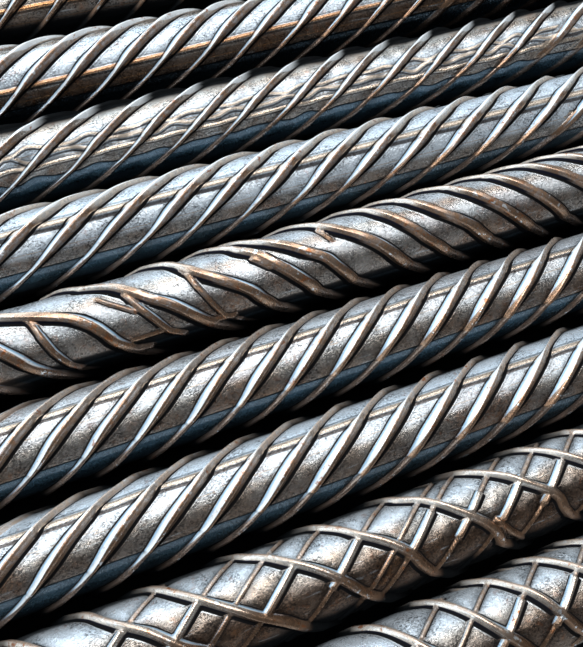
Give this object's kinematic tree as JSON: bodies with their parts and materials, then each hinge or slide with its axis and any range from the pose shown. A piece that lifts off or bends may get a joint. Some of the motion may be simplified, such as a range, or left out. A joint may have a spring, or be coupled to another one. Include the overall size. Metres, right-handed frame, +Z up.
{
  "type": "rebar bundle",
  "caption": "Bundle of ribbed steel reinforcing bars stacked in close-packed rows and held by flat steel straps with crimped seals.",
  "frame": {"origin": "centre of the bundle's footprint, on the floor under its straps", "axes": "+X along the bars, +Y across the bundle towards bar 1 of each row, +Z up"},
  "size_m": [1.2094, 0.2526, 0.1068],
  "materials": {
    "bar_steel": "hot-rolled, dark mill scale with worn ribs and light brown rust",
    "strap_steel": "blued and waxed strapping",
    "seal_steel": "zinc-coated sheet"
  },
  "bodies": {
    "root": {"bar_bottom_1": "bar_steel", "bar_bottom_2": "bar_steel", "bar_bottom_3": "bar_steel", "bar_bottom_4": "bar_steel", "bar_bottom_5": "bar_steel", "bar_bottom_6": "bar_steel", "bar_bottom_7": "bar_steel", "bar_bottom_8": "bar_steel", "bar_bottom_9": "bar_steel", "bar_lower_1": "bar_steel", "bar_lower_2": "bar_steel", "bar_lower_3": "bar_steel", "bar_lower_4": "bar_steel", "bar_lower_5": "bar_steel", "bar_lower_6": "bar_steel", "bar_lower_7": "bar_steel", "bar_lower_8": "bar_steel", "bar_lower_9": "bar_steel", "bar_lower_10": "bar_steel", "bar_middle_1": "bar_steel", "bar_middle_2": "bar_steel", "bar_middle_3": "bar_steel", "bar_middle_4": "bar_steel", "bar_middle_5": "bar_steel", "bar_middle_6": "bar_steel", "bar_middle_7": "bar_steel", "bar_middle_8": "bar_steel", "bar_middle_9": "bar_steel", "bar_middle_10": "bar_steel", "bar_middle_11": "bar_steel", "bar_upper_1": "bar_steel", "bar_upper_2": "bar_steel", "bar_upper_3": "bar_steel", "bar_upper_4": "bar_steel", "bar_upper_5": "bar_steel", "bar_upper_6": "bar_steel", "bar_upper_7": "bar_steel", "bar_upper_8": "bar_steel", "bar_upper_9": "bar_steel", "bar_upper_10": "bar_steel", "bar_top_1": "bar_steel", "bar_top_2": "bar_steel", "bar_top_3": "bar_steel", "bar_top_4": "bar_steel", "bar_top_5": "bar_steel", "bar_top_6": "bar_steel", "bar_top_7": "bar_steel", "bar_top_8": "bar_steel", "bar_top_9": "bar_steel", "strap_left": "strap_steel", "strap_seal_left": "seal_steel", "strap_right": "strap_steel", "strap_seal_right": "seal_steel"}
  },
  "joints": []
}
